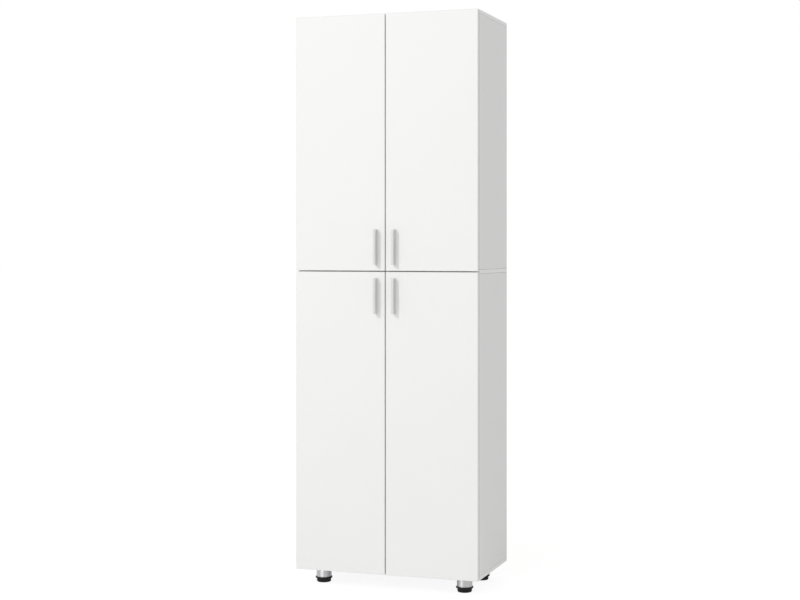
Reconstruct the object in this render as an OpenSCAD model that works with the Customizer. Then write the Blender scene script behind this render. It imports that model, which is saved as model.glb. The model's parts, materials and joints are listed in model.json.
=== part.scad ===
// Tall four-door storage cabinet on round levelling legs.
// The origin is on the floor under the middle of the overall box. The doors face -Y and +Z is up.
// Millimetres.

/* [Cabinet] */
// Overall height, floor to top
height = 1800; // [1700:1:2000]
// Overall width
width = 600; // [540:1:800]
// Depth from the door faces to the rear edges, without the handles
depth = 340; // [320:1:500]
// Height of the cabinet's underside above the floor
leg_h = 50; // [48:1:80]
// Height of the middle of the middle board above the floor
middle_z = 996; // [900:1:1050]

/* [Boards] */
// Thickness of the carcass boards and shelves
board_t = 12; // [12:0.5:19]
// Thickness of the hardboard backs
back_t = 3; // [2.5:0.1:4]
// Distance from the rear edges to the grooves that hold the backs
groove_in = 8; // [6:0.5:20]
// Depth of those grooves
groove_deep = 4; // [3:0.1:4.5]
// Play of a back in its groove, all round
groove_play = 0.3; // [0.2:0.05:0.5]

/* [Doors] */
// Thickness of the doors
door_t = 15; // [15:0.5:19]
// Space between a door's back and the front edges of the carcass
door_gap = 3; // [3:0.1:4]
// Gap between neighbouring doors
seam = 3.5; // [2:0.1:5]
// Distance of the doors' outer edges from the cabinet's side faces
side_reveal = 0.5; // [0.5:0.1:2.5]
// Distance of the doors' ends from the top face and the underside
end_reveal = 0.5; // [0.5:0.1:4]

/* [Shelves] */
// Distance of a shelf's front edge from the front edges of the carcass
shelf_setback = 20; // [10:1:60]
// Play at each end and at the rear of a shelf
shelf_play = 1; // [0.5:0.1:2]
// Pitch of the holes for the shelf supports
hole_pitch = 32; // [25:1:40]
// Which hole above the lower compartment's floor carries each lower shelf
lower_steps = [10, 19];
// Which hole above the upper compartment's floor carries each upper shelf
upper_steps = [8, 16];
// Distance of the hole columns from the shelves' front and rear edges
hole_in = 40; // [25:1:70]

/* [Handles] */
// Length of a handle
handle_l = 112; // [104:1:160]
// Width of a handle's face
handle_w = 7.5; // [7:0.5:14]
// How far a handle stands out of its door
handle_out = 22; // [18:0.5:35]
// Distance between a handle's screws
handle_pitch = 96; // [64:1:96]
// Distance from the middle of the seam between two doors to a handle's centre line
handle_in = 30; // [20:1:60]
// Distance from the middle of the middle board to the near end of a handle
handle_end = 20; // [14:1:80]

/* [Hinges] */
// Distance of a hinge from its door's end
hinge_in = 100; // [70:1:150]
// Diameter of the hinge cup
cup_d = 35; // [35:0.5:36]
// Depth of the hinge cup in the door
cup_deep = 12.4; // [12:0.1:13]
// Distance from the door's outer edge to the cup
cup_edge = 3; // [3:0.1:4]
// Distance of the hinge pin from the door's outer edge
pin_in = 7; // [7:0.1:7.4]
// Distance of the hinge pin from the door's back
pin_deep = 9; // [8.8:0.1:9.2]
// Diameter of the hinge pin
pin_d = 2.5; // [2:0.1:2.6]
// Distance of the mounting plate's screws from the front edges of the carcass
plate_in = 37; // [32:1:45]
// Distance between the mounting plate's two screws
plate_pitch = 32; // [32:1:40]

/* [Legs] */
// Diameter of the chrome tube
tube_d = 48; // [40:1:60]
// Wall of the chrome tube
tube_wall = 1.2; // [1:0.1:2]
// Diameter of the rim of the black foot
rim_d = 54; // [50:1:70]
// Height of the black foot
foot_h = 17; // [14:1:25]
// How far the foot screws out of the tube
foot_travel = 10; // [5:1:12]
// Distance of the legs' axes from the cabinet's side faces
leg_in_x = 65; // [50:1:100]
// Distance of the front legs' axes from the door faces
leg_in_front = 77; // [60:1:120]
// Distance of the rear legs' axes from the rear edges
leg_in_rear = 73; // [40:1:100]

/* [Hidden] */
$fn = 48;
// Radial play of a fastener in its hole
play = 0.1;
// Extra length of a cut past the face that it opens
past = 1;

// Planes from front to rear
rear_y = (depth + handle_out) / 2;
face_y = rear_y - depth;
door_back_y = face_y + door_t;
case_front_y = door_back_y + door_gap;
case_d = rear_y - case_front_y;
groove_y = rear_y - groove_in - back_t - 2 * groove_play;
back_y = groove_y + groove_play;

// Planes across and up
in_x = width / 2 - board_t;
top_z = height - board_t;
lower_floor = leg_h + board_t;
lower_ceiling = middle_z - board_t / 2;
upper_floor = middle_z + board_t / 2;

// Joints between the side boards and the level boards: cam fittings and dowels
cam_d = 12;
cam_deep = 9.5;
cam_z = 24;
cam_cross_w = 1.8;
cam_cross_l = 8;
cam_cross_deep = 2;
bolt_screw_r = 2.5;
bolt_screw_l = 8;
bolt_r = 2.2;
bolt_neck_r = 1.5;
bolt_neck_l = 3;
bolt_head_r = 2.8;
bolt_head_l = 3;
dowel_r = 3;
dowel_l = 16;
dowel_in_board = 8;
// Distance of the bolts from the boards' front and rear edges, and from there to the dowels
bolt_in = 50;
bolt_to_dowel = 40;
bolt_ys = [case_front_y + bolt_in, rear_y - bolt_in];
dowel_ys = [bolt_ys[0] + bolt_to_dowel, bolt_ys[1] - bolt_to_dowel];

// Shelf supports
support_pin_r = 2.5;
support_pin_l = 8;
support_w = 10;
support_l = 10;
support_t = 2;
support_drop = 3.5;
support_h = 7;
support_block_l = 3;
support_root = 1;

// Hinge cup, arm and plate
cup_wall = 0.8;
cup_flange_t = 1;
cup_flange_r = 20.5;
cup_flange_edge = 2.2;
cup_wing_h = 60;
cup_wing_from = 5;
cup_wing_to = 12;
cup_screw_pitch = 48;
cup_screw_in = 6;
ear_gap = 0.5;
ear_t = 1.2;
ear_from = 4.3;
ear_to = 12;
ear_top = 6;
eye_r = 1.9;
eye_h = 9;
pin_play = 0.05;
arm_t = 1.6;
arm_reach = 13.5;
arm_drop = 1.8;
arm_w = 13;
arm_wall = 1.2;
arm_skirt = 7.6;
arm_back = 62;
arm_web_from = 2;
arm_skirt_from = 4;
arm_screw_at = [22, 50];
spine_w = 9.6;
spine_from = 12;
spine_to = 58;
plate_t = 2;
plate_w = 20;
plate_h = 50;

// Screws: shank radius, head radius, head height
head_taper = 0.8;
recess_w = 0.8;
wood_screw = [1.75, 3.4, 1.8];
plate_screw = [2, 3.4, 1.6];
arm_screw = [1.6, 3, 1.6];
handle_screw = [1.9, 4, 2.2];
cup_screw_l = 9;
plate_screw_l = 10;
arm_screw_l = 6;
board_screw_l = 10;
handle_screw_in = 10;

// Door buffers
buffer_d = 8;
buffer_play = 0.3;
buffer_x = 12;
buffer_edge = 0.5;

// Wall bracket
bracket_w = 30;
bracket_l = 32;
bracket_t = 2;
bracket_hole_r = 2.5;
bracket_hole_z = 20;
bracket_screw_y = 20;
bracket_screw_x = 8;
back_hole_r = 4;

// Legs and feet
leg_plate_w = 60;
leg_plate_t = 2;
leg_screw_at = 24;
// The threaded plug holds the foot's stem over twice the travel, so that half stays in it at the end
plug_h = 2 * foot_travel;
plug_play = 0.1;
stem_d = 10;
stem_play = 0.1;
// Clear height over the stem when the foot is screwed right in
stem_clear = 5;
stem_l = leg_h - leg_plate_t - foot_h - stem_clear;
foot_r = 22.5;
foot_low_r = 22;
foot_bottom_r = 21;
foot_edge = 1.5;
foot_neck_z = 10;
rim_slope_z = 12.5;

SIDES = [["left", -1], ["right", 1]];
// Each compartment: name, floor, ceiling, shelf steps
BAYS = [["lower", lower_floor, lower_ceiling, lower_steps],
        ["upper", upper_floor, top_z, upper_steps]];
// Each door: name, side, lower end, upper end
DOORS = [for (b = BAYS) for (s = SIDES)
    [str(b[0], "_", s[0]), s[1],
     b[0] == "lower" ? leg_h + end_reveal : middle_z + seam / 2,
     b[0] == "lower" ? middle_z - seam / 2 : height - end_reveal]];
// Each leg: name, side, distance of its axis from the middle along Y
LEGS = [for (s = SIDES) for (p = [["front", face_y + leg_in_front], ["rear", rear_y - leg_in_rear]])
    [str(p[0], "_", s[0]), s[1], p[1]]];

// Where things go

function hinge_zs(z0, z1) = [z0 + hinge_in, z1 - hinge_in];
function door_of(bay, side) = [for (d = DOORS) if (d[0] == str(bay[0], "_", side)) d][0];
function shelf_z(bay, i) = bay[1] + bay[3][i] * hole_pitch + support_drop;
function shelf_front() = case_front_y + shelf_setback;
function shelf_rear() = back_y - shelf_play;
function support_ys() = [shelf_front() + hole_in, shelf_rear() - hole_in];

// Draws what is made for the left side, or its mirror image on the right
module on_side(s) {
    if (s > 0)
        mirror([1, 0, 0]) children();
    else
        children();
}

// A round bar from the origin along +Y
module bar_y(r, l) {
    rotate([-90, 0, 0]) cylinder(h = l, r = r);
}

// A round bar from the origin along +X
module bar_x(r, l) {
    rotate([0, 90, 0]) cylinder(h = l, r = r);
}

// A screw whose shank runs l along +Z from under its head, with a cross recess
module screw(kind, l) {
    recess = kind[2] / 2;
    cylinder(h = l, r = kind[0]);
    difference() {
        translate([0, 0, -kind[2]]) cylinder(h = kind[2], r1 = kind[1] * head_taper, r2 = kind[1]);
        for (a = [0, 90])
            rotate([0, 0, a]) translate([-kind[1] / 2, -recess_w / 2, -kind[2] - past])
                cube([kind[1], recess_w, recess + past]);
    }
}

// The hole that a screw of this kind takes
module screw_hole(kind, l) {
    translate([0, 0, -past]) cylinder(h = l + past + play, r = kind[0] + play);
}

// Level boards

// Places the fittings of a joint that points up (+1) or down (-1) from the face at z
module at_joint(ys, z, up) {
    for (s = [-1, 1])
        for (y = ys)
            translate([s * (width / 2 - board_t / 2), y, z]) scale([1, 1, up]) children();
}

// Holes in a level board's face at z, for the bolts and dowels that go in from that face
module board_face_holes(z, up) {
    bolt_hole_l = bolt_screw_l + play;
    dowel_hole_l = dowel_in_board + play;
    at_joint(bolt_ys, z, up)
        translate([0, 0, -bolt_hole_l]) cylinder(h = bolt_hole_l + past, r = bolt_screw_r + play);
    at_joint(dowel_ys, z, up)
        translate([0, 0, -dowel_hole_l]) cylinder(h = dowel_hole_l + past, r = dowel_r + play);
}

// Groove for a back, cut from z down
module board_groove(z, up) {
    l = 2 * (in_x + groove_deep);
    translate([-l / 2, groove_y, up > 0 ? z - groove_deep : z - past])
        cube([l, back_t + 2 * groove_play, groove_deep + past]);
}

module level_board(z) {
    translate([-width / 2, case_front_y, z]) cube([width, case_d, board_t]);
}

module top_board() {
    color("white") difference() {
        level_board(top_z);
        board_face_holes(top_z, -1);
        board_groove(top_z, -1);
        for (x = [-1, 1])
            translate([x * bracket_screw_x, back_y - bracket_screw_y, top_z])
                screw_hole(wood_screw, board_screw_l);
    }
}

module middle_board() {
    color("white") difference() {
        level_board(lower_ceiling);
        board_groove(upper_floor, 1);
        board_groove(lower_ceiling, -1);
        at_joint(bolt_ys, lower_ceiling, 1)
            translate([0, 0, -past]) cylinder(h = board_t + 2 * past, r = bolt_r + play);
        at_joint(dowel_ys, lower_ceiling, 1)
            translate([0, 0, -past]) cylinder(h = board_t + 2 * past, r = dowel_r + play);
    }
}

module bottom_board() {
    color("white") difference() {
        level_board(leg_h);
        board_face_holes(lower_floor, 1);
        board_groove(lower_floor, 1);
        at_leg_screws() screw_hole(wood_screw, board_screw_l);
    }
}

// Side boards

// One end of a left side board: cam pockets, bolt holes and dowel holes above z, or below it with up -1
module side_end_holes(z, up) {
    mid = -width / 2 + board_t / 2;
    for (y = bolt_ys) {
        translate([mid, y, z]) scale([1, 1, up])
            translate([0, 0, -past]) cylinder(h = cam_z + past, r = bolt_head_r + play);
        translate([-in_x - cam_deep - play, y, z + up * cam_z])
            bar_x(cam_d / 2 + play, cam_deep + play + past);
    }
    for (y = dowel_ys)
        translate([mid, y, z]) scale([1, 1, up])
            translate([0, 0, -past]) cylinder(h = dowel_l + play + past, r = dowel_r + play);
}

module side_board(bay, side) {
    z0 = bay[1];
    z1 = bay[2];
    door = door_of(bay, "left");
    color("white") on_side(side) difference() {
        translate([-width / 2, case_front_y, z0]) cube([board_t, case_d, z1 - z0]);
        side_end_holes(z0, 1);
        side_end_holes(z1, -1);
        // Groove for the back
        translate([-in_x - groove_deep, groove_y, z0 - past])
            cube([groove_deep + past, back_t + 2 * groove_play, z1 - z0 + 2 * past]);
        // Three support holes for each shelf, one pitch apart
        for (step = bay[3])
            for (k = [-1, 0, 1])
                for (y = support_ys())
                    translate([-in_x - support_pin_l - play, y, z0 + (step + k) * hole_pitch])
                        bar_x(support_pin_r + play, support_pin_l + play + past);
        // Screw holes for the hinge plates
        for (z = hinge_zs(door[2], door[3]))
            for (k = [-1, 1])
                translate([-in_x, case_front_y + plate_in, z + k * plate_pitch / 2])
                    rotate([0, -90, 0]) screw_hole(plate_screw, plate_screw_l - plate_t);
    }
}

// Backs and shelves

module back(bay) {
    tuck = groove_deep - groove_play;
    w = 2 * (in_x + tuck);
    z0 = bay[1] - tuck;
    z1 = bay[2] + tuck;
    color("white") difference() {
        translate([-w / 2, back_y, z0]) cube([w, back_t, z1 - z0]);
        // The upper back lets the wall screw through
        if (bay[2] == top_z)
            translate([0, back_y - past, top_z - bracket_hole_z]) bar_y(back_hole_r, back_t + 2 * past);
    }
}

module shelf(bay, i) {
    w = 2 * (in_x - shelf_play);
    color("white") translate([-w / 2, shelf_front(), shelf_z(bay, i)])
        cube([w, shelf_rear() - shelf_front(), board_t]);
}

module shelf_supports() {
    color("silver") for (bay = BAYS, i = [0, 1], y = support_ys(), s = [-1, 1]) on_side(s)
        translate([-in_x, y, shelf_z(bay, i)]) {
            translate([-support_pin_l, 0, -support_drop]) bar_x(support_pin_r, support_pin_l + support_root);
            translate([0, -support_w / 2, -support_h]) cube([support_block_l, support_w, support_h]);
            translate([0, -support_w / 2, -support_t]) cube([support_l, support_w, support_t]);
        }
}

// Cam fittings and dowels

// Places children at every cam: at its axis on the board's inner face, with +Z towards the level board
module at_cams() {
    for (bay = BAYS, s = [-1, 1], y = bolt_ys, end = [-1, 1]) on_side(s)
        translate([-in_x, y, end < 0 ? bay[1] + cam_z : bay[2] - cam_z]) scale([1, 1, end]) children();
}

module cams() {
    color("silver") at_cams() difference() {
        translate([-cam_deep, 0, 0]) bar_x(cam_d / 2, cam_deep);
        // Way for the bolt's head
        translate([-board_t / 2, 0, -bolt_head_l])
            cylinder(h = cam_d, r = bolt_head_r + play);
        // Cross for the screwdriver
        for (a = [0, 90])
            rotate([a, 0, 0]) translate([-cam_cross_deep, -cam_cross_l / 2, -cam_cross_w / 2])
                cube([cam_cross_deep + past, cam_cross_l, cam_cross_w]);
    }
}

// The part of a bolt that stands up out of a level board's face into a side board
module bolt_shank() {
    shank = cam_z - bolt_head_l / 2 - bolt_neck_l;
    cylinder(h = shank, r = bolt_r);
    translate([0, 0, shank - past]) cylinder(h = bolt_neck_l + 2 * past, r = bolt_neck_r);
    translate([0, 0, cam_z - bolt_head_l / 2]) cylinder(h = bolt_head_l, r = bolt_head_r);
}

module cam_bolts() {
    color("silver") {
        for (joint = [[lower_floor, 1], [top_z, -1]])
            at_joint(bolt_ys, joint[0], joint[1]) {
                bolt_shank();
                translate([0, 0, -bolt_screw_l]) cylinder(h = bolt_screw_l + past, r = bolt_screw_r - play);
            }
        // One bolt with a head at each end runs through the middle board
        at_joint(bolt_ys, middle_z, 1) {
            cylinder(h = board_t, r = bolt_r, center = true);
            for (up = [-1, 1])
                scale([1, 1, up]) translate([0, 0, board_t / 2]) bolt_shank();
        }
    }
}

module dowels() {
    color("burlywood") {
        for (joint = [[lower_floor, 1], [top_z, -1]])
            at_joint(dowel_ys, joint[0], joint[1])
                translate([0, 0, -dowel_in_board]) cylinder(h = dowel_in_board + dowel_l, r = dowel_r);
        at_joint(dowel_ys, middle_z, 1) cylinder(h = board_t + 2 * dowel_l, r = dowel_r, center = true);
    }
}

// Hinge pieces on the carcass

// Places children at every hinge: on the side board's inner face, at its front edge
module at_hinges() {
    for (d = DOORS, z = hinge_zs(d[2], d[3])) on_side(d[1])
        translate([-in_x, case_front_y, z]) children();
}

// Distance of the hinge arm from the side board's inner face
function arm_off() = arm_reach - (board_t - side_reveal - pin_in);

module hinge_plates() {
    color("silver") at_hinges() difference() {
        union() {
            translate([0, plate_in - plate_w / 2, -plate_h / 2]) cube([plate_t, plate_w, plate_h]);
            translate([0, spine_from, -spine_w / 2]) cube([arm_off(), spine_to - spine_from, spine_w]);
        }
        for (k = [-1, 1])
            translate([-past, plate_in, k * plate_pitch / 2])
                bar_x(plate_screw[0] + play, plate_t + 2 * past);
        for (y = arm_screw_at)
            translate([arm_off(), y, 0]) rotate([0, -90, 0]) screw_hole(arm_screw, arm_screw_l);
    }
}

module hinge_plate_screws() {
    color("silver") at_hinges() for (k = [-1, 1])
        translate([plate_t, plate_in, k * plate_pitch / 2])
            rotate([0, -90, 0]) screw(plate_screw, plate_screw_l);
}

// The arm runs out of the carcass on its plate, turns into the cup and ends in an eye on the pin
module hinge_arms() {
    eye_x = arm_off() - arm_reach;
    eye_y = -door_gap - pin_deep;
    color("silver") at_hinges() difference() {
        union() {
            translate([eye_x, eye_y, -eye_h / 2]) cylinder(h = eye_h, r = eye_r);
            translate([eye_x, eye_y - arm_drop, -eye_h / 2]) cube([arm_reach + arm_t, arm_t, eye_h]);
            translate([arm_off(), eye_y - arm_drop, -eye_h / 2])
                cube([arm_t, -eye_y + arm_drop + spine_from, eye_h]);
            translate([arm_off(), arm_web_from, -arm_w / 2]) cube([arm_t, arm_back - arm_web_from, arm_w]);
            for (k = [-1, 1])
                translate([arm_off() + arm_t - arm_skirt, arm_skirt_from,
                           k * (arm_w / 2 - arm_wall / 2) - arm_wall / 2])
                    cube([arm_skirt, arm_back - arm_skirt_from, arm_wall]);
        }
        translate([eye_x, eye_y, -eye_h / 2 - past]) cylinder(h = eye_h + 2 * past, r = pin_d / 2 + pin_play);
        for (y = arm_screw_at)
            translate([arm_off() - past, y, 0]) bar_x(arm_screw[0] + play, arm_t + 2 * past);
    }
}

module hinge_arm_screws() {
    color("silver") at_hinges() for (y = arm_screw_at)
        translate([arm_off() + arm_t, y, 0]) rotate([0, -90, 0]) screw(arm_screw, arm_screw_l);
}

// Soft buffers on the front edges, where the free corners of the doors come to rest
module door_buffers() {
    end_in = end_reveal + buffer_edge + buffer_d / 2;
    zs = [leg_h + end_in, middle_z, height - end_in];
    color("gainsboro") for (z = zs, s = [-1, 1])
        translate([s * buffer_x, case_front_y, z])
            rotate([90, 0, 0]) cylinder(h = door_gap - buffer_play, r = buffer_d / 2);
}

// Wall bracket under the rear of the top board

module wall_bracket() {
    color("silver") difference() {
        union() {
            translate([-bracket_w / 2, back_y - bracket_l, top_z - bracket_t])
                cube([bracket_w, bracket_l, bracket_t]);
            translate([-bracket_w / 2, back_y - bracket_t, top_z - bracket_l])
                cube([bracket_w, bracket_t, bracket_l]);
        }
        translate([0, back_y - bracket_t - past, top_z - bracket_hole_z])
            bar_y(bracket_hole_r, bracket_t + 2 * past);
        for (x = [-1, 1])
            translate([x * bracket_screw_x, back_y - bracket_screw_y, top_z - bracket_t - past])
                cylinder(h = bracket_t + 2 * past, r = wood_screw[0] + play);
    }
}

module wall_bracket_screws() {
    color("silver") for (x = [-1, 1])
        translate([x * bracket_screw_x, back_y - bracket_screw_y, top_z - bracket_t])
            screw(wood_screw, bracket_t + board_screw_l);
}

// Legs

// Places children on a leg's axis at the cabinet's underside
module at_legs() {
    for (l = LEGS)
        translate([l[1] * (width / 2 - leg_in_x), l[2], leg_h]) children();
}

module at_leg_screws() {
    at_legs() for (x = [-1, 1], y = [-1, 1])
        translate([x * leg_screw_at, y * leg_screw_at, 0]) children();
}

module leg_plates() {
    color("dimgray") difference() {
        at_legs() translate([-leg_plate_w / 2, -leg_plate_w / 2, -leg_plate_t])
            cube([leg_plate_w, leg_plate_w, leg_plate_t]);
        at_leg_screws() translate([0, 0, -leg_plate_t - past])
            cylinder(h = leg_plate_t + 2 * past, r = wood_screw[0] + play);
    }
}

module leg_screws() {
    color("silver") at_leg_screws() translate([0, 0, -leg_plate_t])
        screw(wood_screw, leg_plate_t + board_screw_l);
}

module leg_tubes() {
    h = leg_h - leg_plate_t - foot_h;
    color("silver") at_legs() translate([0, 0, -leg_plate_t - h]) difference() {
        cylinder(h = h, d = tube_d);
        translate([0, 0, -past]) cylinder(h = h + 2 * past, d = tube_d - 2 * tube_wall);
    }
}

// Threaded plug in the lower end of each tube
module leg_plugs() {
    color("black") at_legs() translate([0, 0, foot_h - leg_h]) difference() {
        cylinder(h = plug_h, r = tube_d / 2 - tube_wall - plug_play);
        translate([0, 0, -past]) cylinder(h = plug_h + 2 * past, r = stem_d / 2 + stem_play);
    }
}

// Foot with its screw stem, drawn screwed right in
module foot(leg) {
    color("black") translate([leg[1] * (width / 2 - leg_in_x), leg[2], 0]) {
        rotate_extrude() polygon([
            [0, 0], [foot_bottom_r, 0], [foot_low_r, foot_edge], [foot_r, foot_neck_z],
            [rim_d / 2, rim_slope_z], [rim_d / 2, foot_h], [0, foot_h]]);
        translate([0, 0, foot_h - past]) cylinder(h = stem_l + past, d = stem_d);
    }
}

// Doors

// Places children at a door's outer lower corner on its back: +X towards the door's free edge
module at_door(d) {
    on_side(d[1]) translate([-width / 2 + side_reveal, door_back_y, d[2]]) children();
}

// Places children at each of a door's hinges
module at_door_hinges(d) {
    at_door(d) for (z = hinge_zs(0, d[3] - d[2])) translate([0, 0, z]) children();
}

function cup_x() = cup_edge + cup_d / 2;
function door_w() = width / 2 - side_reveal - seam / 2;
function handle_x() = width / 2 - side_reveal - handle_in;

// Height of a handle's lower end above its door's lower end
function handle_z(d) =
    (d[2] < middle_z ? middle_z - handle_end - handle_l : middle_z + handle_end) - d[2];

// Places children at both screws of a door's handle, on the door's back
module at_handle_screws(d) {
    at_door(d) for (k = [-1, 1])
        translate([handle_x(), 0, handle_z(d) + handle_l / 2 + k * handle_pitch / 2]) children();
}

module at_cup_screws(d) {
    at_door_hinges(d) for (k = [-1, 1])
        translate([cup_x() + cup_screw_in, cup_flange_t, k * cup_screw_pitch / 2])
            rotate([90, 0, 0]) children();
}

module door(d) {
    color("white") difference() {
        at_door(d) translate([0, -door_t, 0]) cube([door_w(), door_t, d[3] - d[2]]);
        at_door_hinges(d) translate([cup_x(), past, 0])
            rotate([90, 0, 0]) cylinder(h = cup_deep + play + past, r = cup_d / 2 + play);
        at_cup_screws(d) screw_hole(wood_screw, cup_screw_l);
        at_handle_screws(d)
            translate([0, -door_t - past, 0]) bar_y(handle_screw[0] + play, door_t + 2 * past);
    }
}

module handle(d) {
    color("silver") difference() {
        at_door(d) translate([handle_x() - handle_w / 2, -door_t - handle_out, handle_z(d)])
            cube([handle_w, handle_out, handle_l]);
        at_handle_screws(d) translate([0, -door_t - handle_screw_in - play, 0])
            bar_y(handle_screw[0] + play, handle_screw_in + play + past);
    }
}

module handle_screws(d) {
    color("silver") at_handle_screws(d) rotate([90, 0, 0]) screw(handle_screw, door_t + handle_screw_in);
}

// Pressed cup with a flange for its screws and two ears that hold the pin
module hinge_cups(d) {
    outer_r = cup_d / 2;
    ear_z = eye_h / 2 + ear_gap;
    color("silver") at_door_hinges(d) difference() {
        union() {
            difference() {
                union() {
                    translate([cup_x(), 0, 0]) rotate([90, 0, 0]) cylinder(h = cup_deep, r = outer_r);
                    translate([cup_x(), cup_flange_t, 0]) rotate([90, 0, 0])
                        cylinder(h = cup_flange_t, r = cup_flange_r);
                    translate([cup_x() - cup_wing_from, 0, -cup_wing_h / 2])
                        cube([cup_wing_from + cup_wing_to, cup_flange_t, cup_wing_h]);
                }
                translate([cup_x(), cup_flange_t + past, 0]) rotate([90, 0, 0])
                    cylinder(h = cup_deep + cup_flange_t + past - cup_wall, r = outer_r - cup_wall);
                translate([-past, 0, -cup_wing_h / 2])
                    cube([cup_flange_edge + past, cup_flange_t + past, cup_wing_h]);
            }
            for (k = [-1, 1])
                translate([ear_from, -cup_deep + cup_wall / 2, k * (ear_z + ear_t / 2) - ear_t / 2])
                    cube([ear_to - ear_from, cup_deep - cup_wall / 2 - ear_top, ear_t]);
        }
        translate([pin_in, -pin_deep, -ear_z - ear_t - past])
            cylinder(h = 2 * (ear_z + ear_t + past), r = pin_d / 2 + pin_play);
        for (k = [-1, 1])
            translate([cup_x() + cup_screw_in, -past, k * cup_screw_pitch / 2])
                bar_y(wood_screw[0] + play, cup_flange_t + 2 * past);
    }
}

module hinge_pins(d) {
    l = eye_h + 2 * (ear_gap + ear_t);
    color("silver") at_door_hinges(d)
        translate([pin_in, -pin_deep, -l / 2]) cylinder(h = l, d = pin_d);
}

module cup_screws(d) {
    color("silver") at_cup_screws(d) screw(wood_screw, cup_screw_l);
}

// Carcass
top_board();
middle_board();
bottom_board();
for (b = BAYS, s = SIDES)
    side_board(b, s[1]);
for (b = BAYS)
    back(b);
for (b = BAYS, i = [0, 1])
    shelf(b, i);
shelf_supports();
cams();
cam_bolts();
dowels();
hinge_plates();
hinge_plate_screws();
hinge_arms();
hinge_arm_screws();
door_buffers();
wall_bracket();
wall_bracket_screws();
leg_plates();
leg_screws();
leg_tubes();
leg_plugs();

// Doors
for (d = DOORS) {
    door(d);
    handle(d);
    handle_screws(d);
    hinge_cups(d);
    hinge_pins(d);
    cup_screws(d);
}

// Feet
for (l = LEGS)
    foot(l);
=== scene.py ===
# Tall four-door storage cabinet: white faced boards, aluminium bar handles, chrome legs on black feet.
# Metres. The doors face -Y, +Z is up, and the floor is at height 0.
import json
import math

import bmesh
import bpy
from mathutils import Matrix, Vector

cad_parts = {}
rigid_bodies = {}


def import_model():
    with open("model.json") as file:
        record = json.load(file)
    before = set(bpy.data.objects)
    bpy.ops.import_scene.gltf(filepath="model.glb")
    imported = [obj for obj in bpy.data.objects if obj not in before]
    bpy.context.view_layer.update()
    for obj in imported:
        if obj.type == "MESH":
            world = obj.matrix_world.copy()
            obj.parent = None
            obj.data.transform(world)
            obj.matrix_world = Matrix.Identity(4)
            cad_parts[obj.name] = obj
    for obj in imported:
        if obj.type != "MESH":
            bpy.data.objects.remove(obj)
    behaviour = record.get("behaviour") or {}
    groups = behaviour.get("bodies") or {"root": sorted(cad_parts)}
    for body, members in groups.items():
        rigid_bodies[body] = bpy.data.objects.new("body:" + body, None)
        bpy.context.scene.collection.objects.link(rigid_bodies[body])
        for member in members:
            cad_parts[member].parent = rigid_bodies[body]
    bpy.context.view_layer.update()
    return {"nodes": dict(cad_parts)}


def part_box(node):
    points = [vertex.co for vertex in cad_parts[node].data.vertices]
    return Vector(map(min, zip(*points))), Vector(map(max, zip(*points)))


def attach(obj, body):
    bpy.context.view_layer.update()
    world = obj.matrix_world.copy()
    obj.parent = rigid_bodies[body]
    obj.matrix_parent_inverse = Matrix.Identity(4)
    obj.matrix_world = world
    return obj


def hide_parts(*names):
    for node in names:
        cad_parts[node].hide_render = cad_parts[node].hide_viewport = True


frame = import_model()

# Camera
# It stands 4.7 m in front of the cabinet and to its right, with its lens 1.07 m above the floor.
# It looks level, and its lens is shifted down a little, so upright edges stay upright in the picture.
camera_lens = bpy.data.cameras.new("studio_camera")
camera_lens.sensor_width = 36
camera_lens.lens = 70.28
camera_lens.shift_x = -0.00015
camera_lens.shift_y = -0.0673
camera = bpy.data.objects.new("studio_camera", camera_lens)
camera.location = (1.6147, -4.7449, 1.0744)
camera.rotation_euler = (math.radians(90), 0, math.radians(18.85))
bpy.context.scene.collection.objects.link(camera)
bpy.context.scene.camera = camera

# Boards of the carcass
# Chipboard with white melamine on both faces. The edges that show have a white strip glued on, 1 mm thick
# and rounded over. The rear edges, the upper and lower ends of the sides, the drilled holes and the grooves
# for the backs show the raw chipboard.


def add(tree, kind, inputs=None, **settings):
    """Adds a node to a tree. Each input is given a value, or the output socket that feeds it."""
    made = tree.nodes.new(kind)
    for key, value in settings.items():
        setattr(made, key, value)
    for key, value in (inputs or {}).items():
        if isinstance(value, bpy.types.NodeSocket):
            tree.links.new(value, made.inputs[key])
        else:
            made.inputs[key].default_value = value
    return made


def maths(tree, operation, *values):
    """Works out a value from others. Each is a number or an output socket."""
    return add(tree, "ShaderNodeMath", dict(enumerate(values)), operation=operation).outputs[0]


def vector_maths(tree, operation, *values):
    """Works out a vector from others."""
    return add(tree, "ShaderNodeVectorMath", dict(enumerate(values)), operation=operation).outputs[0]


def stretched(tree, value, lowest, highest):
    """Stretches noise, which stays near 0.3 to 0.7, to a range."""
    inputs = {"Value": value, "From Min": 0.3, "From Max": 0.7, "To Min": lowest, "To Max": highest}
    return add(tree, "ShaderNodeMapRange", inputs).outputs["Result"]


def new_group(name, kind, inputs, outputs):
    """Starts a node group: its tree, the node with its inputs, and a function that feeds its outputs."""
    tree = bpy.data.node_groups.new(name, kind)
    for label, socket_type, value in inputs:
        socket = tree.interface.new_socket(label, in_out="INPUT", socket_type=socket_type)
        if value is not None:
            socket.default_value = value
    for label, socket_type in outputs:
        tree.interface.new_socket(label, in_out="OUTPUT", socket_type=socket_type)
    given = tree.nodes.new("NodeGroupInput")
    result = tree.nodes.new("NodeGroupOutput")
    return tree, given, lambda label, socket: tree.links.new(socket, result.inputs[label])


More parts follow.
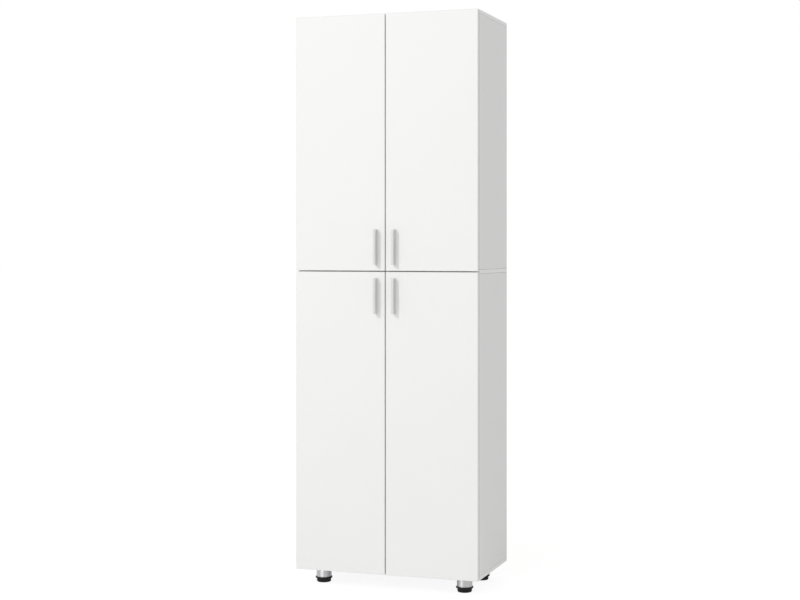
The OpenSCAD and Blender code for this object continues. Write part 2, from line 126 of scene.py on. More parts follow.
def mottle_group():
    """Slow changes of shade over a surface, as in print, plating and moulded plastic."""
    tree, given, feed = new_group(
        "mottle",
        "ShaderNodeTree",
        [
            ("Vector", "NodeSocketVector", None),
            ("Color", "NodeSocketColor", (1, 1, 1, 1)),
            ("Patches per Metre", "NodeSocketFloat", 10.0),
            ("Amount", "NodeSocketFloat", 0.03),
        ],
        [("Color", "NodeSocketColor"), ("Value", "NodeSocketFloat")],
    )
    noise = add(
        tree,
        "ShaderNodeTexNoise",
        {"Vector": given.outputs["Vector"], "Scale": given.outputs["Patches per Metre"], "Detail": 3.0},
    )
    lowest = maths(tree, "SUBTRACT", 1.0, given.outputs["Amount"])
    shade = stretched(tree, noise.outputs["Fac"], lowest, 1.0)
    shaded = add(
        tree, "ShaderNodeVectorMath", {0: given.outputs["Color"], "Scale": shade}, operation="SCALE"
    )
    feed("Color", shaded.outputs["Vector"])
    feed("Value", noise.outputs["Fac"])
    return tree


def grain_group():
    """The fine uneven surface of melamine, moulded plastic and cast metal, as a height from 0 to 1."""
    tree, given, feed = new_group(
        "fine_grain",
        "ShaderNodeTree",
        [("Vector", "NodeSocketVector", None), ("Grains per Metre", "NodeSocketFloat", 1000.0)],
        [("Height", "NodeSocketFloat")],
    )
    noise = add(
        tree,
        "ShaderNodeTexNoise",
        {"Vector": given.outputs["Vector"], "Scale": given.outputs["Grains per Metre"], "Detail": 2.0},
    )
    feed("Height", noise.outputs["Fac"])
    return tree


def edging_group():
    """Masks of a board's edging strips and of the fine joint between a strip and the face, from its box.
    Face Plane holds 1 for the two axes that the board's face runs along."""
    tree, given, feed = new_group(
        "edging_strips",
        "ShaderNodeTree",
        [
            ("Vector", "NodeSocketVector", None),
            ("Low", "NodeSocketVector", None),
            ("High", "NodeSocketVector", None),
            ("Face Plane", "NodeSocketVector", None),
            ("Strip", "NodeSocketFloat", 0.001),
            ("Joint", "NodeSocketFloat", 0.0001),
        ],
        [("Strip", "NodeSocketFloat"), ("Joint", "NodeSocketFloat")],
    )
    from_low = vector_maths(tree, "SUBTRACT", given.outputs["Vector"], given.outputs["Low"])
    from_high = vector_maths(tree, "SUBTRACT", given.outputs["High"], given.outputs["Vector"])
    nearest = vector_maths(tree, "MINIMUM", from_low, from_high)
    off_plane = vector_maths(tree, "SUBTRACT", (1, 1, 1), given.outputs["Face Plane"])
    in_plane = vector_maths(tree, "ADD", nearest, off_plane)
    parts = add(tree, "ShaderNodeSeparateXYZ", {0: in_plane})
    smaller = maths(tree, "MINIMUM", parts.outputs["X"], parts.outputs["Y"])
    depth = maths(tree, "MINIMUM", smaller, parts.outputs["Z"])
    on_strip = maths(tree, "LESS_THAN", depth, given.outputs["Strip"])
    on_joint = maths(tree, "COMPARE", depth, given.outputs["Strip"], given.outputs["Joint"])
    feed("Strip", on_strip)
    feed("Joint", on_joint)
    return tree


mottle = mottle_group()
fine_grain = grain_group()
edging_strips = edging_group()


def new_finish(name, color, roughness, metallic=0.0):
    """Starts a material: the material, its tree, its shader and the object coordinates."""
    finish = bpy.data.materials.new(name)
    finish.use_nodes = True
    finish.diffuse_color = (*color, 1)
    tree = finish.node_tree
    shader = tree.nodes["Principled BSDF"]
    shader.inputs["Base Color"].default_value = (*color, 1)
    shader.inputs["Roughness"].default_value = roughness
    shader.inputs["Metallic"].default_value = metallic
    place = add(tree, "ShaderNodeTexCoord")
    return finish, tree, shader, place.outputs["Object"]


def mottled(tree, place, color, patches_per_metre, amount):
    """Places the mottle effect in a material. Its node gives the mottled colour and the noise behind it."""
    inputs = {"Vector": place, "Color": color, "Patches per Metre": patches_per_metre, "Amount": amount}
    return add(tree, "ShaderNodeGroup", inputs, node_tree=mottle)


def uneven_gloss(tree, shader, noise, lowest, highest):
    """Lets noise vary the shader's roughness between two values."""
    tree.links.new(stretched(tree, noise, lowest, highest), shader.inputs["Roughness"])


def bump(tree, shader, height, depth):
    """Feeds the shader's normal with a bump that is depth metres high."""
    made = add(tree, "ShaderNodeBump", {"Height": height, "Distance": depth, "Strength": 1.0})
    tree.links.new(made.outputs["Normal"], shader.inputs["Normal"])


def grained(tree, shader, place, grains_per_metre, grain_depth):
    """Gives a surface a fine grain."""
    inputs = {"Vector": place, "Grains per Metre": grains_per_metre}
    grain = add(tree, "ShaderNodeGroup", inputs, node_tree=fine_grain)
    bump(tree, shader, grain.outputs["Height"], grain_depth)


def mixed_color(tree, share, first, second):
    """Mixes a share of a second colour into a first. A mix node keeps its colours in these sockets."""
    first_socket, second_socket, result_socket = 6, 7, 2
    inputs = {"Factor": share, first_socket: first, second_socket: second}
    return add(tree, "ShaderNodeMix", inputs, data_type="RGBA").outputs[result_socket]


def melamine(name, box, face_plane, face_color, strip_color):
    """White melamine with a faint pebbled surface, edging strips of a slightly different white, and a thin
    grey line where strip and face meet: partly a glue line, partly painted shade of the groove between
    boards.
    """
    finish, tree, shader, place = new_finish(name, face_color, roughness=0.64)
    shaded = mottled(tree, place, (*face_color, 1), patches_per_metre=3.0, amount=0.012)
    inputs = {"Vector": place, "Low": box[0], "High": box[1], "Face Plane": face_plane}
    edging = add(tree, "ShaderNodeGroup", inputs, node_tree=edging_strips)
    with_strip = mixed_color(tree, edging.outputs["Strip"], shaded.outputs["Color"], (*strip_color, 1))
    # Painted shade: a thin grey line 1 mm in from each box edge stands for the shade in the groove between
    # boards. Where a strip is glued on, it is the glue line as well.
    glue_line_and_groove_shade = (0.62, 0.61, 0.58, 1)
    with_joint = mixed_color(tree, edging.outputs["Joint"], with_strip, glue_line_and_groove_shade)
    tree.links.new(with_joint, shader.inputs["Base Color"])
    uneven_gloss(tree, shader, shaded.outputs["Value"], lowest=0.60, highest=0.68)
    grained(tree, shader, place, grains_per_metre=1400.0, grain_depth=0.00003)
    return finish


def chipboard():
    """Raw chipboard: pressed wood chips of several browns, rough where it was sawn or drilled."""
    finish, tree, shader, place = new_finish("raw_chipboard", (0.47, 0.33, 0.20), roughness=0.85)
    chips = add(tree, "ShaderNodeTexVoronoi", {"Vector": place, "Scale": 520.0, "Randomness": 1.0})
    browns = add(tree, "ShaderNodeValToRGB", {"Fac": chips.outputs["Color"]})
    browns.color_ramp.elements[0].color = (0.30, 0.19, 0.10, 1)
    browns.color_ramp.elements[1].color = (0.64, 0.48, 0.31, 1)
    middle = browns.color_ramp.elements.new(0.55)
    middle.color = (0.50, 0.35, 0.21, 1)
    shaded = mottled(tree, place, browns.outputs["Color"], patches_per_metre=60.0, amount=0.2)
    tree.links.new(shaded.outputs["Color"], shader.inputs["Base Color"])
    bump(tree, shader, chips.outputs["Distance"], depth=0.0003)
    return finish


def merged_copy(node):
    """A CAD node's surface as a bmesh, with its loose triangles joined into whole flat faces."""
    edit = bmesh.new()
    edit.from_mesh(frame["nodes"][node].data)
    bmesh.ops.remove_doubles(edit, verts=edit.verts, dist=2e-6)
    bmesh.ops.dissolve_limit(edit, angle_limit=math.radians(0.5), verts=edit.verts, edges=edit.edges)
    return edit


def new_piece(edit, name):
    """Puts a bmesh into the scene as a new piece, with nothing but its corners and faces."""
    edit.verts.index_update()
    mesh = bpy.data.meshes.new(name)
    mesh.from_pydata([v.co.copy() for v in edit.verts], [], [[v.index for v in f.verts] for f in edit.faces])
    edit.free()
    piece = bpy.data.objects.new(name, mesh)
    bpy.context.scene.collection.objects.link(piece)
    return piece


def make_plain(piece):
    """Turns a piece with live modifiers into the plain mesh that they give."""
    bpy.context.view_layer.update()
    depsgraph = bpy.context.evaluated_depsgraph_get()
    plain = bpy.data.meshes.new_from_object(
        piece.evaluated_get(depsgraph), preserve_all_data_layers=True, depsgraph=depsgraph
    )
    plain.name = piece.name
    piece.modifiers.clear()
    piece.data = plain


def round_edges(piece, radius, steps, weights=None):
    """Rounds a piece's edges: those with a weight, or else all that turn by more than 30 degrees."""
    rounding = piece.modifiers.new("rounding", "BEVEL")
    rounding.width = radius
    rounding.segments = steps
    rounding.loop_slide = False
    rounding.limit_method = "ANGLE"
    rounding.angle_limit = math.radians(30)
    if weights is not None:
        rounding.limit_method = "WEIGHT"
        layer = piece.data.attributes.new("bevel_weight_edge", "FLOAT", "EDGE")
        layer.data.foreach_set("value", weights)
    make_plain(piece)
    piece.data.shade_smooth()
    piece.data.set_sharp_from_angle(angle=math.radians(40))
    shading = piece.modifiers.new("shading", "WEIGHTED_NORMAL")
    shading.keep_sharp = True
    make_plain(piece)


def on_planes(point, box):
    """Which of a box's six planes a point lies on."""
    near = 1e-5
    low = {("low", i) for i in range(3) if abs(point[i] - box[0][i]) < near}
    high = {("high", i) for i in range(3) if abs(point[i] - box[1][i]) < near}
    return low | high


def outer_edges(mesh, box):
    """A weight for each edge of a mesh: 1 along the edges of its box, and 0 for holes and grooves."""
    planes = [on_planes(v.co, box) for v in mesh.vertices]
    return [1.0 if len(planes[e.vertices[0]] & planes[e.vertices[1]]) > 1 else 0.0 for e in mesh.edges]


def faced_board(node, body, finish, radius, raw_sides):
    """A board with rounded outer edges. Its outer faces take the finish, apart from the raw sides, which are
    given as (axis, way). Its holes and grooves are raw as well."""
    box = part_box(node)
    piece = new_piece(merged_copy(node), node + "_panel")
    round_edges(piece, radius, steps=3, weights=outer_edges(piece.data, box))
    piece.data.materials.append(finish)
    piece.data.materials.append(raw_chipboard)
    deepest_rounding = 0.0015
    facing = 0.2
    for face in piece.data.polygons:
        sides = set()
        for axis in range(3):
            for way, depth in ((-1, face.center[axis] - box[0][axis]), (1, box[1][axis] - face.center[axis])):
                if face.normal[axis] * way > facing and depth < deepest_rounding:
                    sides.add((axis, way))
        face.material_index = 1 if not sides or sides & set(raw_sides) else 0
    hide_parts(node)
    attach(piece, body)


raw_chipboard = chipboard()
board_white = (0.905, 0.905, 0.90)
strip_white = (0.96, 0.96, 0.955)
board_edge_radius = 0.0006
rear = (1, 1)
top_end = (2, 1)
bottom_end = (2, -1)
level_plane = (1, 1, 0)
upright_plane = (0, 1, 1)
for node in ("top_board", "middle_board", "bottom_board"):
    finish = melamine(node + "_white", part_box(node), level_plane, board_white, strip_white)
    faced_board(node, "carcass", finish, board_edge_radius, [rear])
for node in ("lower_left_side", "lower_right_side", "upper_left_side", "upper_right_side"):
    finish = melamine(node + "_white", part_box(node), upright_plane, board_white, strip_white)
    faced_board(node, "carcass", finish, board_edge_radius, [rear, top_end, bottom_end])

# Backs
# Hardboard 3 mm thick, slid into the grooves all round. The side towards the doors is lacquered white and
# smooth. The other is brown, with the print of the wire screen that the wet board was pressed on.


def lacquered_hardboard():
    """The smooth white front of the hardboard."""
    finish, tree, shader, place = new_finish("hardboard_front", (0.88, 0.88, 0.86), roughness=0.5)
    shaded = mottled(tree, place, (0.88, 0.88, 0.86, 1), patches_per_metre=5.0, amount=0.03)
    tree.links.new(shaded.outputs["Color"], shader.inputs["Base Color"])
    grained(tree, shader, place, grains_per_metre=700.0, grain_depth=0.00004)
    return finish


def screen_side_hardboard():
    """The brown rear of the hardboard, with loose fibres and the screen's print."""
    finish, tree, shader, place = new_finish("hardboard_rear", (0.36, 0.23, 0.13), roughness=0.8)
    fibres = add(tree, "ShaderNodeMapping", {"Vector": place, "Scale": (1.0, 1.0, 0.25)})
    along = fibres.outputs["Vector"]
    strands = mottled(tree, along, (0.42, 0.28, 0.165, 1), patches_per_metre=420.0, amount=0.3)
    clouds = mottled(tree, place, strands.outputs["Color"], patches_per_metre=9.0, amount=0.14)
    tree.links.new(clouds.outputs["Color"], shader.inputs["Base Color"])
    wires_per_metre = 90.0
    across = add(tree, "ShaderNodeTexWave", {"Vector": place, "Scale": wires_per_metre}, bands_direction="X")
    up = add(tree, "ShaderNodeTexWave", {"Vector": place, "Scale": wires_per_metre}, bands_direction="Z")
    print_height = maths(tree, "MULTIPLY", across.outputs["Fac"], up.outputs["Fac"])
    bump(tree, shader, print_height, depth=0.00015)
    return finish


back_edge_radius = 0.0003
hardboard_finishes = (lacquered_hardboard(), screen_side_hardboard())
for node in ("lower_back", "upper_back"):
    piece = new_piece(merged_copy(node), node + "_panel")
    round_edges(piece, back_edge_radius, steps=2, weights=outer_edges(piece.data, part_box(node)))
    for finish in hardboard_finishes:
        piece.data.materials.append(finish)
    towards_doors = -0.5
    for face in piece.data.polygons:
        face.material_index = 0 if face.normal.y < towards_doors else 1
    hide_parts(node)
    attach(piece, "carcass")

# Shelves
# The same white chipboard, with an edging strip in front and at both ends. They lie loose on their supports,
# a millimetre short of the sides and set back from the front edges.
for node in ("lower_shelf_1", "lower_shelf_2", "upper_shelf_1", "upper_shelf_2"):
    finish = melamine(node + "_white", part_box(node), level_plane, board_white, strip_white)
    faced_board(node, "carcass", finish, board_edge_radius, [rear])

# Cams, bolts and dowels
# The cams are round zinc castings that turn in the boards and draw in the heads of zinc-plated steel bolts.
# The dowels beside them are bare beech. All of them keep the shape that the CAD gives them.


def plated(name, color, roughness, grain, mottling):
    """A metal finish with slow changes of shade and gloss, and a fine grain: how many per metre, how deep."""
    finish, tree, shader, place = new_finish(name, color, roughness, metallic=1.0)
    shaded = mottled(tree, place, (*color, 1), patches_per_metre=90.0, amount=mottling)
    tree.links.new(shaded.outputs["Color"], shader.inputs["Base Color"])
    uneven_gloss(tree, shader, shaded.outputs["Value"], roughness * 0.8, roughness * 1.25)
    grained(tree, shader, place, *grain)
    return finish


casting_grain = (1500.0, 0.00006)
plating_grain = (1200.0, 0.00001)
zinc_casting = plated("zinc_casting", (0.60, 0.60, 0.61), roughness=0.45, grain=casting_grain, mottling=0.12)
zinc_plating = plated("zinc_plating", (0.66, 0.67, 0.70), roughness=0.32, grain=plating_grain, mottling=0.10)


def beech():
    """Bare beech of the dowels, with short dark flecks along the grain."""
    finish, tree, shader, place = new_finish("bare_beech", (0.70, 0.52, 0.33), roughness=0.7)
    fibres = add(tree, "ShaderNodeMapping", {"Vector": place, "Scale": (1.0, 1.0, 0.08)})
    along = fibres.outputs["Vector"]
    flecks = mottled(tree, along, (0.74, 0.56, 0.36, 1), patches_per_metre=1400.0, amount=0.28)
    tree.links.new(flecks.outputs["Color"], shader.inputs["Base Color"])
    bump(tree, shader, flecks.outputs["Value"], depth=0.0001)
    return finish


def refinish(node, finish):
    """Gives a CAD node that keeps its shape its finish."""
    mesh = frame["nodes"][node].data
    mesh.materials.clear()
    mesh.materials.append(finish)


refinish("cams", zinc_casting)
refinish("cam_bolts", zinc_plating)
refinish("dowels", beech())

# Hinges on the carcass and the wall bracket
# Pressed steel with bright nickel plating and slightly rounded edges. The mounting plates are screwed to the
# side boards, and the arms lie over them. The bracket is screwed under the top board.


def pressed_metal(node, body, radius, name):
    """A CAD piece of nickel-plated sheet metal with its sharp edges broken."""
    piece = new_piece(merged_copy(node), name)
    round_edges(piece, radius, steps=2)
    piece.data.materials.append(nickel)
    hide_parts(node)
    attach(piece, body)


nickel_grain = (900.0, 0.00001)
nickel = plated("nickel_plating", (0.72, 0.70, 0.66), roughness=0.24, grain=nickel_grain, mottling=0.06)
hinge_edge_radius = 0.00025
bracket_edge_radius = 0.0004
pressed_metal("hinge_plates", "carcass", hinge_edge_radius, "hinge_mounting_plates")
pressed_metal("hinge_arms", "carcass", hinge_edge_radius, "hinge_folded_arms")
pressed_metal("wall_bracket", "carcass", bracket_edge_radius, "wall_angle_bracket")

# Screws
# Zinc-plated steel with a low domed head, a cross recess and a thread along the shank. They stand where the
# CAD screws stand, each turned as the screwdriver happened to leave it.


def lathe(profile, steps, closed=False):
    """A turned shape about Z through points (radius, height), from pole to pole or as a closed ring."""
    edit = bmesh.new()
    rings = []
    turn = math.tau / steps
    for radius, height in profile:
        around = [turn * i for i in range(steps)] if radius else [0]
        rings.append([edit.verts.new((radius * math.cos(a), radius * math.sin(a), height)) for a in around])
    if closed:
        rings.append(rings[0])
    for lower, upper in zip(rings, rings[1:]):
        for i in range(steps):
            j = (i + 1) % steps
            corners = [ring[k % len(ring)] for ring, k in ((lower, i), (lower, j), (upper, j), (upper, i))]
            edit.faces.new(list(dict.fromkeys(corners)))
    bmesh.ops.recalc_face_normals(edit, faces=edit.faces)
    return edit


def combine(piece, other, operation):
    """Joins another piece to one or cuts it out, so that one closed surface is left."""
    boolean = piece.modifiers.new("combine", "BOOLEAN")
    boolean.operation = operation
    boolean.solver = "EXACT"
    boolean.object = other
    make_plain(piece)
    bpy.data.objects.remove(other)


def cross_head(radius, height, recess_width):
    """A domed head that lies below the origin, with a cross recess in its underside."""
    angles = [math.radians(degrees) for degrees in (72, 50, 28, 10)]
    dome = [(radius * math.cos(a), -height * math.sin(a)) for a in angles]
    edit = lathe([(0, -height)] + dome + [(radius, 0), (0, 0)], steps=24)
    head = new_piece(edit, "screw_head")
    slots = bmesh.new()
    half = recess_width / 2
    reach = radius * 0.62
    outline = []
    for quarter in range(4):
        a = math.pi / 2 * quarter
        for x, y in ((reach, -half), (reach, half), (half, half)):
            outline.append((x * math.cos(a) - y * math.sin(a), x * math.sin(a) + y * math.cos(a)))
    narrowing = 0.8
    floor_height = -height * 0.45
    mouth_height = -height * 1.2
    floor = [slots.verts.new((x * narrowing, y * narrowing, floor_height)) for x, y in outline]
    mouth = [slots.verts.new((x, y, mouth_height)) for x, y in outline]
    slots.faces.new(floor)
    slots.faces.new(mouth)
    for i, corner in enumerate(floor):
        j = (i + 1) % len(floor)
        slots.faces.new([corner, floor[j], mouth[j], mouth[i]])
    bmesh.ops.recalc_face_normals(slots, faces=slots.faces)
    combine(head, new_piece(slots, "cross_recess"), "DIFFERENCE")
    return head


def raised(tree, geometry, height):
    """Lifts geometry by a height."""
    place = add(tree, "ShaderNodeCombineXYZ", {"Z": height})
    inputs = {"Geometry": geometry, "Translation": place.outputs[0]}
    return add(tree, "GeometryNodeTransform", inputs).outputs["Geometry"]


def end_tree(tree, given, feed, geometry):
    """Ends a geometry tree with real geometry in its finish."""
    real = add(tree, "GeometryNodeRealizeInstances", {"Geometry": geometry})
    inputs = {"Geometry": real.outputs["Geometry"], "Material": given.outputs["Finish"]}
    finished = add(tree, "GeometryNodeSetMaterial", inputs)
    feed("Geometry", finished.outputs["Geometry"])


def threaded_rod_tree():
    """A round rod along +Z with a helical thread, which ends in a short cone."""
    tree, given, feed = new_group(
        "threaded_rod",
        "GeometryNodeTree",
        [
            ("Radius", "NodeSocketFloat", 0.002),
            ("Length", "NodeSocketFloat", 0.01),
            ("Thread Pitch", "NodeSocketFloat", 0.001),
            ("Thread Depth", "NodeSocketFloat", 0.0004),
            ("Tip", "NodeSocketFloat", 0.001),
        ],
        [("Geometry", "NodeSocketGeometry")],
    )
    core = maths(tree, "SUBTRACT", given.outputs["Radius"], given.outputs["Thread Depth"])
    straight = maths(tree, "SUBTRACT", given.outputs["Length"], given.outputs["Tip"])
    middle = maths(tree, "MULTIPLY", straight, 0.5)
    rod = add(tree, "GeometryNodeMeshCylinder", {"Vertices": 20, "Radius": core, "Depth": straight})
    rod_up = raised(tree, rod.outputs["Mesh"], middle)
    tip_bottom = maths(tree, "MULTIPLY", core, 0.98)
    tip_top = maths(tree, "MULTIPLY", core, 0.35)
    cone = {"Vertices": 20, "Radius Top": tip_top, "Radius Bottom": tip_bottom, "Depth": given.outputs["Tip"]}
    tip = add(tree, "GeometryNodeMeshCone", cone)
    tip_up = raised(tree, tip.outputs["Mesh"], straight)
    pitch = given.outputs["Thread Pitch"]
    run = maths(tree, "MULTIPLY_ADD", pitch, -1.5, straight)
    turns = maths(tree, "DIVIDE", run, pitch)
    ridge_radius = maths(tree, "MULTIPLY_ADD", given.outputs["Thread Depth"], 0.5, core)
    spiral = {"Resolution": 20, "Rotations": turns, "Height": run}
    radii = {"Start Radius": ridge_radius, "End Radius": ridge_radius}
    helix = add(tree, "GeometryNodeCurveSpiral", spiral | radii)
    helix_up = raised(tree, helix.outputs["Curve"], pitch)
    half_depth = maths(tree, "MULTIPLY", given.outputs["Thread Depth"], 0.5)
    ridge = add(tree, "GeometryNodeCurvePrimitiveCircle", {"Resolution": 4, "Radius": half_depth})
    swept = {"Curve": helix_up, "Profile Curve": ridge.outputs["Curve"], "Fill Caps": True}
    thread = add(tree, "GeometryNodeCurveToMesh", swept)
    whole = add(tree, "GeometryNodeJoinGeometry")
    for part in (rod_up, tip_up, thread.outputs["Mesh"]):
        tree.links.new(part, whole.inputs[0])
    feed("Geometry", whole.outputs[0])
    return tree


def fastener_tree(with_shank):
    """Sets one fastener at each point, with its +Z along the point's direction, and turned by a seeded angle.
    The head comes from a template, and the shank with its thread from the sizes."""
    sizes = [
        ("Shank Radius", "NodeSocketFloat", 0.002),
        ("Shank Length", "NodeSocketFloat", 0.01),
        ("Thread Pitch", "NodeSocketFloat", 0.001),
        ("Thread Depth", "NodeSocketFloat", 0.0004),
        ("Tip", "NodeSocketFloat", 0.001),
    ]
    tree, given, feed = new_group(
        "screws_at_points" if with_shank else "pieces_at_points",
        "GeometryNodeTree",
        [("Geometry", "NodeSocketGeometry", None), ("Template", "NodeSocketObject", None)]
        + (sizes if with_shank else [])
        + [
            ("Largest Turn", "NodeSocketFloat", math.tau),
            ("Seed", "NodeSocketInt", 7),
            ("Finish", "NodeSocketMaterial", None),
        ],
        [("Geometry", "NodeSocketGeometry")],
    )
    template = add(tree, "GeometryNodeObjectInfo", {"Object": given.outputs["Template"]})
    one = add(tree, "GeometryNodeJoinGeometry")
    tree.links.new(template.outputs["Geometry"], one.inputs[0])
    if with_shank:
        shank = add(tree, "GeometryNodeGroup", node_tree=threaded_rod)
        for label, _, _ in sizes:
            tree.links.new(given.outputs[label], shank.inputs[label.removeprefix("Shank ")])
        tree.links.new(shank.outputs[0], one.inputs[0])
    direction = add(tree, "GeometryNodeInputNamedAttribute", {"Name": "direction"}, data_type="FLOAT_VECTOR")
    aimed = add(
        tree, "FunctionNodeAlignRotationToVector", {"Vector": direction.outputs["Attribute"]}, axis="Z"
    )
    upright = add(
        tree,
        "FunctionNodeAlignRotationToVector",
        {"Rotation": aimed.outputs["Rotation"], "Vector": (0, 0, 1)},
        axis="X",
        pivot_axis="Z",
    )
    least_socket, most_socket, result_socket = 2, 3, 1
    limits = {least_socket: 0.0, most_socket: given.outputs["Largest Turn"], "Seed": given.outputs["Seed"]}
    chance = add(tree, "FunctionNodeRandomValue", limits, data_type="FLOAT").outputs[result_socket]
    spin = add(tree, "FunctionNodeAxisAngleToRotation", {"Axis": (0, 0, 1), "Angle": chance})
    turned = add(
        tree,
        "FunctionNodeRotateRotation",
        {"Rotation": upright.outputs["Rotation"], "Rotate By": spin.outputs["Rotation"]},
        rotation_space="LOCAL",
    )
    placed = add(
        tree,
        "GeometryNodeInstanceOnPoints",
        {
            "Points": given.outputs["Geometry"],
            "Instance": one.outputs["Geometry"],
            "Rotation": turned.outputs["Rotation"],
        },
    )
    end_tree(tree, given, feed, placed.outputs["Instances"])
    return tree


def solid_boxes(node):
    """The box of each separate solid in a CAD node."""
    edit = merged_copy(node)
    edit.verts.ensure_lookup_table()
    seen = set()
    boxes = []
    for start in edit.verts:
        if start.index in seen:
            continue
        seen.add(start.index)
        waiting, found = [start], []
        while waiting:
            vert = waiting.pop()
            found.append(vert.co.copy())
            for edge in vert.link_edges:
                other = edge.other_vert(vert)
                if other.index not in seen:
                    seen.add(other.index)
                    waiting.append(other)
        low = Vector([min(p[i] for p in found) for i in range(3)])
        high = Vector([max(p[i] for p in found) for i in range(3)])
        boxes.append((low, high))
    edit.free()
    return sorted(boxes, key=lambda box: tuple(round(v, 5) for v in box[0]))


def run_tree(piece, tree, values):
    """Runs a geometry tree on a piece with its named inputs, and keeps the result as a plain smooth mesh."""
    maker = piece.modifiers.new("maker", "NODES")
    maker.node_group = tree
    for socket in tree.interface.items_tree:
        if socket.in_out == "INPUT" and socket.name in values:
            maker[socket.identifier] = values[socket.name]
    make_plain(piece)
    piece.data.shade_smooth()
    piece.data.set_sharp_from_angle(angle=math.radians(35))


def set_at_points(name, points, tree, values, body, node):
    """Makes one piece of a template, set at (place, direction) points, in place of a CAD node. Then it
    removes the template."""
    mesh = bpy.data.meshes.new(name)
    mesh.from_pydata([place for place, _ in points], [], [])
    layer = mesh.attributes.new("direction", "FLOAT_VECTOR", "POINT")
    layer.data.foreach_set("vector", [c for _, direction in points for c in direction])
    piece = bpy.data.objects.new(name, mesh)
    bpy.context.scene.collection.objects.link(piece)
    run_tree(piece, tree, values)
    bpy.data.objects.remove(values["Template"])
    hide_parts(node)
    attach(piece, body)


def set_screws(node, body, axis, way, sizes, seed):
    """Screws in place of a CAD node's plain ones. Their tips point along an axis: way 1 or -1, or 0 for away
    from the middle. Sizes are the head's radius, its height and the shank's radius."""
    head_radius, head_height, shank_radius = sizes
    boxes = solid_boxes(node)
    points = []
    for low, high in boxes:
        place = (low + high) / 2
        tip_way = way or math.copysign(1, place[axis])
        place[axis] = low[axis] + head_height if tip_way > 0 else high[axis] - head_height
        direction = [0, 0, 0]
        direction[axis] = tip_way
        points.append((tuple(place), tuple(direction)))
    low, high = boxes[0]
    values = {
        "Template": cross_head(head_radius, head_height, recess_width=head_radius * 0.24),
        "Shank Radius": shank_radius,
        "Shank Length": high[axis] - low[axis] - head_height,
        "Thread Pitch": shank_radius * 0.7,
        "Thread Depth": shank_radius * 0.25,
        "Tip": shank_radius * 0.9,
        "Seed": seed,
        "Finish": zinc_plating,
    }
    set_at_points(node + "_set", points, screws_at_points, values, body, node)


threaded_rod = threaded_rod_tree()
screws_at_points = fastener_tree(with_shank=True)
pieces_at_points = fastener_tree(with_shank=False)
across, front_to_back, upwards = 0, 1, 2
wood_screw = (0.0034, 0.0018, 0.00175)
hinge_plate_screw = (0.0034, 0.0016, 0.0020)
hinge_arm_screw = (0.0030, 0.0016, 0.0016)
set_screws("hinge_plate_screws", "carcass", across, way=0, sizes=hinge_plate_screw, seed=11)
set_screws("hinge_arm_screws", "carcass", across, way=0, sizes=hinge_arm_screw, seed=4)
set_screws("leg_screws", "carcass", upwards, way=1, sizes=wood_screw, seed=3)
set_screws("wall_bracket_screws", "carcass", upwards, way=1, sizes=wood_screw, seed=5)

# Shelf supports
# Nickel-plated castings, four to a shelf. A pin pushes into a hole in the side board, and a small ledge
# carries the shelf.


def shelf_support(pin_radius, pin_length, ledge_length, ledge_width, ledge_thick, block_thick, block_height):
    """One support: its pin runs along +Z from the board's face, and +X is up from under the shelf."""
    fillet = 0.0015
    outline = [
        (0, 0),
        (-ledge_length, 0),
        (-ledge_length, -ledge_thick),
        (-block_thick - fillet, -ledge_thick),
        (-block_thick, -ledge_thick - fillet),
        (-block_thick, -block_height),
        (0, -block_height),
    ]
    edit = bmesh.new()
    ends = []
    for y in (-ledge_width / 2, ledge_width / 2):
        ends.append([edit.verts.new((up, y, out)) for out, up in outline])
        edit.faces.new(ends[-1])
    for i in range(len(outline)):
        j = (i + 1) % len(outline)
        edit.faces.new([ends[0][i], ends[0][j], ends[1][j], ends[1][i]])
    bmesh.ops.recalc_face_normals(edit, faces=edit.faces)
    ledge = new_piece(edit, "shelf_support")
    edge_radius = 0.0004
    round_edges(ledge, edge_radius, steps=2)
    pin_tip = 0.0006
    profile = [
        (0, -block_thick / 2),
        (pin_radius, -block_thick / 2),
        (pin_radius, pin_length - pin_tip),
        (pin_radius - pin_tip, pin_length),
        (0, pin_length),
    ]
    edit = lathe(profile, steps=20)
    bmesh.ops.translate(edit, verts=edit.verts, vec=(-block_height / 2, 0, 0))
    combine(ledge, new_piece(edit, "support_pin"), "UNION")
    return ledge


support_pin_length = 0.008
points = []
for low, high in solid_boxes("shelf_supports"):
    middle = (low + high) / 2
    outwards = -1 if middle.x < 0 else 1
    face_x = low.x + support_pin_length if outwards < 0 else high.x - support_pin_length
    points.append(((face_x, middle.y, high.z), (outwards, 0, 0)))
template = shelf_support(
    pin_radius=0.0025,
    pin_length=support_pin_length,
    ledge_length=0.010,
    ledge_width=0.010,
    ledge_thick=0.002,
    block_thick=0.003,
    block_height=0.007,
)
values = {"Template": template, "Largest Turn": 0.0, "Finish": nickel}
set_at_points(
    "shelf_support_set", points, pieces_at_points, values, "carcass", "shelf_supports"
)

# Door buffers
# Domes of milky soft plastic with a sticky rear. They are stuck on the front edges where the free corners of
# the doors come to rest.


def soft_plastic():
    """Milky soft plastic, a little cloudy, with a fine grain."""
    finish, tree, shader, place = new_finish("soft_milky_plastic", (0.84, 0.85, 0.84), roughness=0.2)
    cloudy = mottled(tree, place, (0.84, 0.85, 0.84, 1), patches_per_metre=300.0, amount=0.06)
    tree.links.new(cloudy.outputs["Color"], shader.inputs["Base Color"])
    grained(tree, shader, place, grains_per_metre=2500.0, grain_depth=0.00001)
    return finish


